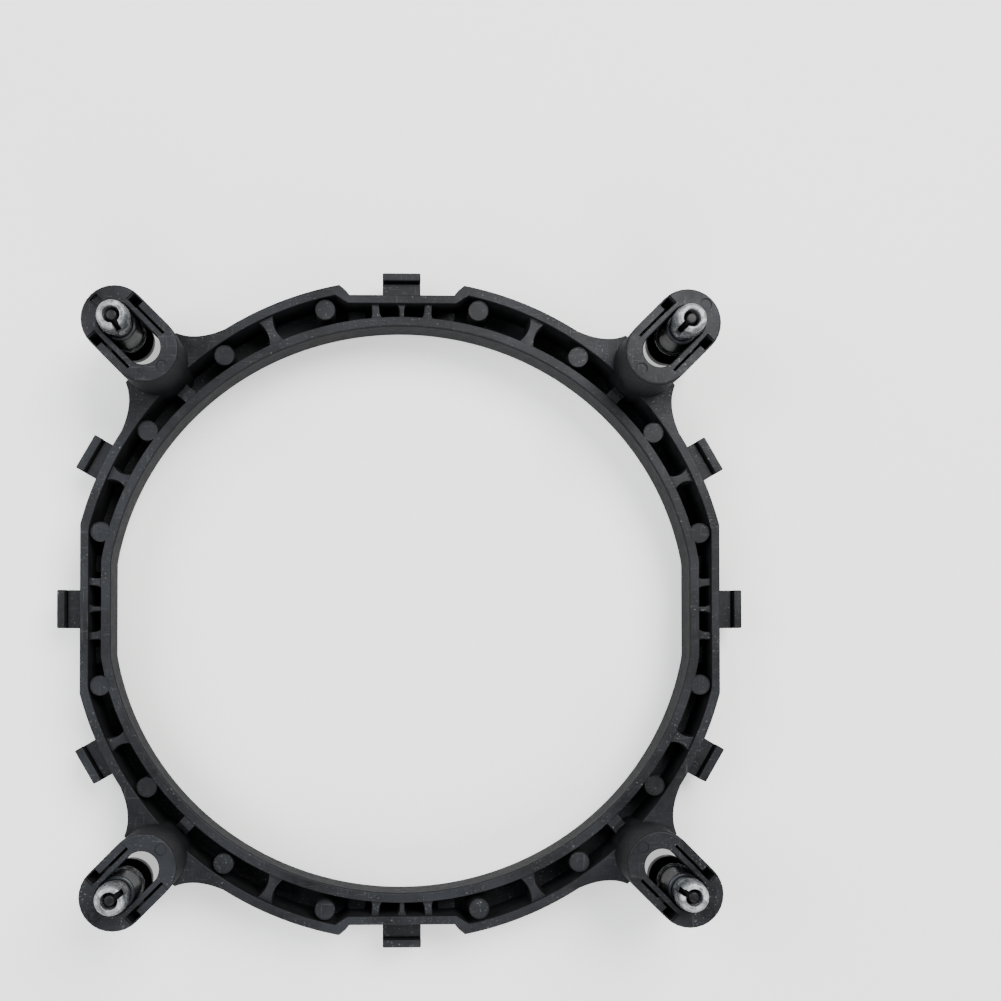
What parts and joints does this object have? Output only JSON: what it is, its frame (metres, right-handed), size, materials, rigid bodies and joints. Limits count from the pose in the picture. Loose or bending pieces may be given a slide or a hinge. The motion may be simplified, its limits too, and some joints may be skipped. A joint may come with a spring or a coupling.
{
  "type": "cpu cooler mounting ring",
  "caption": "Round black plastic ring that holds a processor cooler over its socket, with outer clip hooks and slotted feet carrying sliding push-pins.",
  "frame": {"origin": "centre of the ring on its cooler side, the plane that it lies on", "axes": "+Z towards the board side, +X to the longer pair of flats' right, +Y towards the back feet"},
  "size_m": [0.1016, 0.1002, 0.0189],
  "materials": {
    "ring_plastic": "moulded, fine grain, slightly scuffed",
    "bush_plastic": "smooth moulded",
    "sleeve_nylon": "natural nylon, translucent",
    "plunger_plastic": "smooth moulded"
  },
  "bodies": {
    "ring": {"ring_frame": "ring_plastic"},
    "pin_back_right": {"guide_bush_back_right": "bush_plastic", "expanding_sleeve_back_right": "sleeve_nylon"},
    "plunger_back_right": {"plunger_back_right": "plunger_plastic"},
    "pin_back_left": {"guide_bush_back_left": "bush_plastic", "expanding_sleeve_back_left": "sleeve_nylon"},
    "plunger_back_left": {"plunger_back_left": "plunger_plastic"},
    "pin_front_left": {"guide_bush_front_left": "bush_plastic", "expanding_sleeve_front_left": "sleeve_nylon"},
    "plunger_front_left": {"plunger_front_left": "plunger_plastic"},
    "pin_front_right": {"guide_bush_front_right": "bush_plastic", "expanding_sleeve_front_right": "sleeve_nylon"},
    "plunger_front_right": {"plunger_front_right": "plunger_plastic"}
  },
  "joints": [
    {"name": "pin_shift_back_right", "type": "slide", "parent": "ring", "child": "pin_back_right", "axis": [-0.7071, -0.7071, 0], "range_m": [0, 0.00566]},
    {"name": "plunger_press_back_right", "type": "slide", "parent": "pin_back_right", "child": "plunger_back_right", "axis": [0, 0, 1], "range_m": [0, 0.003]},
    {"name": "pin_shift_back_left", "type": "slide", "parent": "ring", "child": "pin_back_left", "axis": [0.7071, -0.7071, 0], "range_m": [0, 0.00566]},
    {"name": "plunger_press_back_left", "type": "slide", "parent": "pin_back_left", "child": "plunger_back_left", "axis": [0, 0, 1], "range_m": [0, 0.003]},
    {"name": "pin_shift_front_left", "type": "slide", "parent": "ring", "child": "pin_front_left", "axis": [0.7071, 0.7071, 0], "range_m": [0, 0.00566]},
    {"name": "plunger_press_front_left", "type": "slide", "parent": "pin_front_left", "child": "plunger_front_left", "axis": [0, 0, 1], "range_m": [0, 0.003]},
    {"name": "pin_shift_front_right", "type": "slide", "parent": "ring", "child": "pin_front_right", "axis": [-0.7071, 0.7071, 0], "range_m": [0, 0.00566]},
    {"name": "plunger_press_front_right", "type": "slide", "parent": "pin_front_right", "child": "plunger_front_right", "axis": [0, 0, 1], "range_m": [0, 0.003]}
  ]
}
